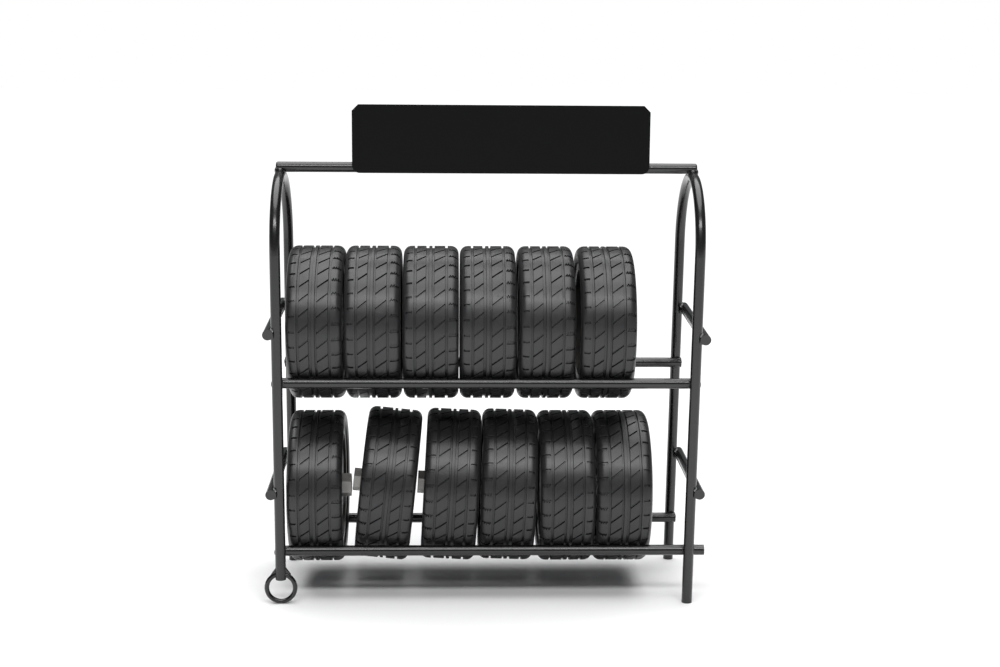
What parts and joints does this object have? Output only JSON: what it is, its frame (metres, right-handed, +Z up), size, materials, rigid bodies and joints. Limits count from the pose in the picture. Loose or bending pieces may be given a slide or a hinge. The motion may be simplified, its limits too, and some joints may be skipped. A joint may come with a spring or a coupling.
{
  "type": "tyre storage rack",
  "caption": "Miniature storage rack of welded black round rod: two arched end hoops, two tiers of rails with loose rubber-tyred wheels lying across them, and a blank sign plate on top.",
  "frame": {"origin": "centre of the rack's footprint, on the surface it stands on", "axes": "+X to the right along the rails, +Y from front to back, +Z up"},
  "size_m": [0.1688, 0.0608, 0.1889],
  "materials": {
    "frame_paint": "semi-gloss black enamel on round steel rod",
    "sign_paint": "even satin black, blank",
    "tyre_rubber": "dark grey rubber with a soft sheen on the tread blocks",
    "rim_plastic": "satin grey moulded plastic",
    "hub_metal": "satin turned metal"
  },
  "bodies": {
    "rack": {"left_hoop": "frame_paint", "right_hoop": "frame_paint", "top_bar": "frame_paint", "upper_front_rail": "frame_paint", "upper_rear_rail": "frame_paint", "lower_front_rail": "frame_paint", "lower_rear_rail": "frame_paint", "left_upper_side_bar": "frame_paint", "left_lower_side_bar": "frame_paint", "right_upper_side_bar": "frame_paint", "right_lower_side_bar": "frame_paint", "ring_foot": "frame_paint", "sign_plate": "sign_paint", "rail_welds": "frame_paint", "side_bar_welds": "frame_paint", "top_bar_welds": "frame_paint", "ring_weld": "frame_paint", "sign_welds": "frame_paint"},
    "upper_wheel_1": {"upper_tyre_1": "tyre_rubber", "upper_rim_1": "rim_plastic", "upper_hub_1": "hub_metal"},
    "upper_wheel_2": {"upper_tyre_2": "tyre_rubber", "upper_rim_2": "rim_plastic", "upper_hub_2": "hub_metal"},
    "upper_wheel_3": {"upper_tyre_3": "tyre_rubber", "upper_rim_3": "rim_plastic", "upper_hub_3": "hub_metal"},
    "upper_wheel_4": {"upper_tyre_4": "tyre_rubber", "upper_rim_4": "rim_plastic", "upper_hub_4": "hub_metal"},
    "upper_wheel_5": {"upper_tyre_5": "tyre_rubber", "upper_rim_5": "rim_plastic", "upper_hub_5": "hub_metal"},
    "upper_wheel_6": {"upper_tyre_6": "tyre_rubber", "upper_rim_6": "rim_plastic", "upper_hub_6": "hub_metal"},
    "lower_wheel_1": {"lower_tyre_1": "tyre_rubber", "lower_rim_1": "rim_plastic", "lower_hub_1": "hub_metal"},
    "lower_wheel_2": {"lower_tyre_2": "tyre_rubber", "lower_rim_2": "rim_plastic", "lower_hub_2": "hub_metal"},
    "lower_wheel_3": {"lower_tyre_3": "tyre_rubber", "lower_rim_3": "rim_plastic", "lower_hub_3": "hub_metal"},
    "lower_wheel_4": {"lower_tyre_4": "tyre_rubber", "lower_rim_4": "rim_plastic", "lower_hub_4": "hub_metal"},
    "lower_wheel_5": {"lower_tyre_5": "tyre_rubber", "lower_rim_5": "rim_plastic", "lower_hub_5": "hub_metal"},
    "lower_wheel_6": {"lower_tyre_6": "tyre_rubber", "lower_rim_6": "rim_plastic", "lower_hub_6": "hub_metal"}
  },
  "joints": [
    {"name": "upper_wheel_1_roll_over", "type": "hinge", "parent": "rack", "child": "upper_wheel_1", "pos_m": [-0.0649, -0.0247, 0.0855], "axis": [1, 0, 0], "range_deg": [0, 75]},
    {"name": "upper_wheel_2_roll_over", "type": "hinge", "parent": "rack", "child": "upper_wheel_2", "pos_m": [-0.0431, -0.0247, 0.0855], "axis": [1, 0, 0], "range_deg": [0, 75]},
    {"name": "upper_wheel_3_roll_over", "type": "hinge", "parent": "rack", "child": "upper_wheel_3", "pos_m": [-0.0211, -0.0247, 0.0855], "axis": [1, 0, 0], "range_deg": [0, 75]},
    {"name": "upper_wheel_4_roll_over", "type": "hinge", "parent": "rack", "child": "upper_wheel_4", "pos_m": [0.0006, -0.0247, 0.0855], "axis": [1, 0, 0], "range_deg": [0, 75]},
    {"name": "upper_wheel_5_roll_over", "type": "hinge", "parent": "rack", "child": "upper_wheel_5", "pos_m": [0.0229, -0.0247, 0.0855], "axis": [1, 0, 0], "range_deg": [0, 75]},
    {"name": "upper_wheel_6_roll_over", "type": "hinge", "parent": "rack", "child": "upper_wheel_6", "pos_m": [0.0459, -0.0247, 0.0855], "axis": [1, 0, 0], "range_deg": [0, 75]},
    {"name": "lower_wheel_1_roll_over", "type": "hinge", "parent": "rack", "child": "lower_wheel_1", "pos_m": [-0.0654, -0.0247, 0.02], "axis": [1, 0, 0], "range_deg": [0, 12]},
    {"name": "lower_wheel_2_roll_over", "type": "hinge", "parent": "rack", "child": "lower_wheel_2", "pos_m": [-0.0379, -0.0247, 0.02], "axis": [1, 0, 0], "range_deg": [0, 10]},
    {"name": "lower_wheel_3_roll_over", "type": "hinge", "parent": "rack", "child": "lower_wheel_3", "pos_m": [-0.01335, -0.0247, 0.02], "axis": [1, 0, 0], "range_deg": [0, 11]},
    {"name": "lower_wheel_4_roll_over", "type": "hinge", "parent": "rack", "child": "lower_wheel_4", "pos_m": [0.0089, -0.0247, 0.02], "axis": [1, 0, 0], "range_deg": [0, 10]},
    {"name": "lower_wheel_5_roll_over", "type": "hinge", "parent": "rack", "child": "lower_wheel_5", "pos_m": [0.0315, -0.0247, 0.02], "axis": [1, 0, 0], "range_deg": [0, 12]},
    {"name": "lower_wheel_6_roll_over", "type": "hinge", "parent": "rack", "child": "lower_wheel_6", "pos_m": [0.0533, -0.0247, 0.02], "axis": [1, 0, 0], "range_deg": [0, 12]}
  ]
}
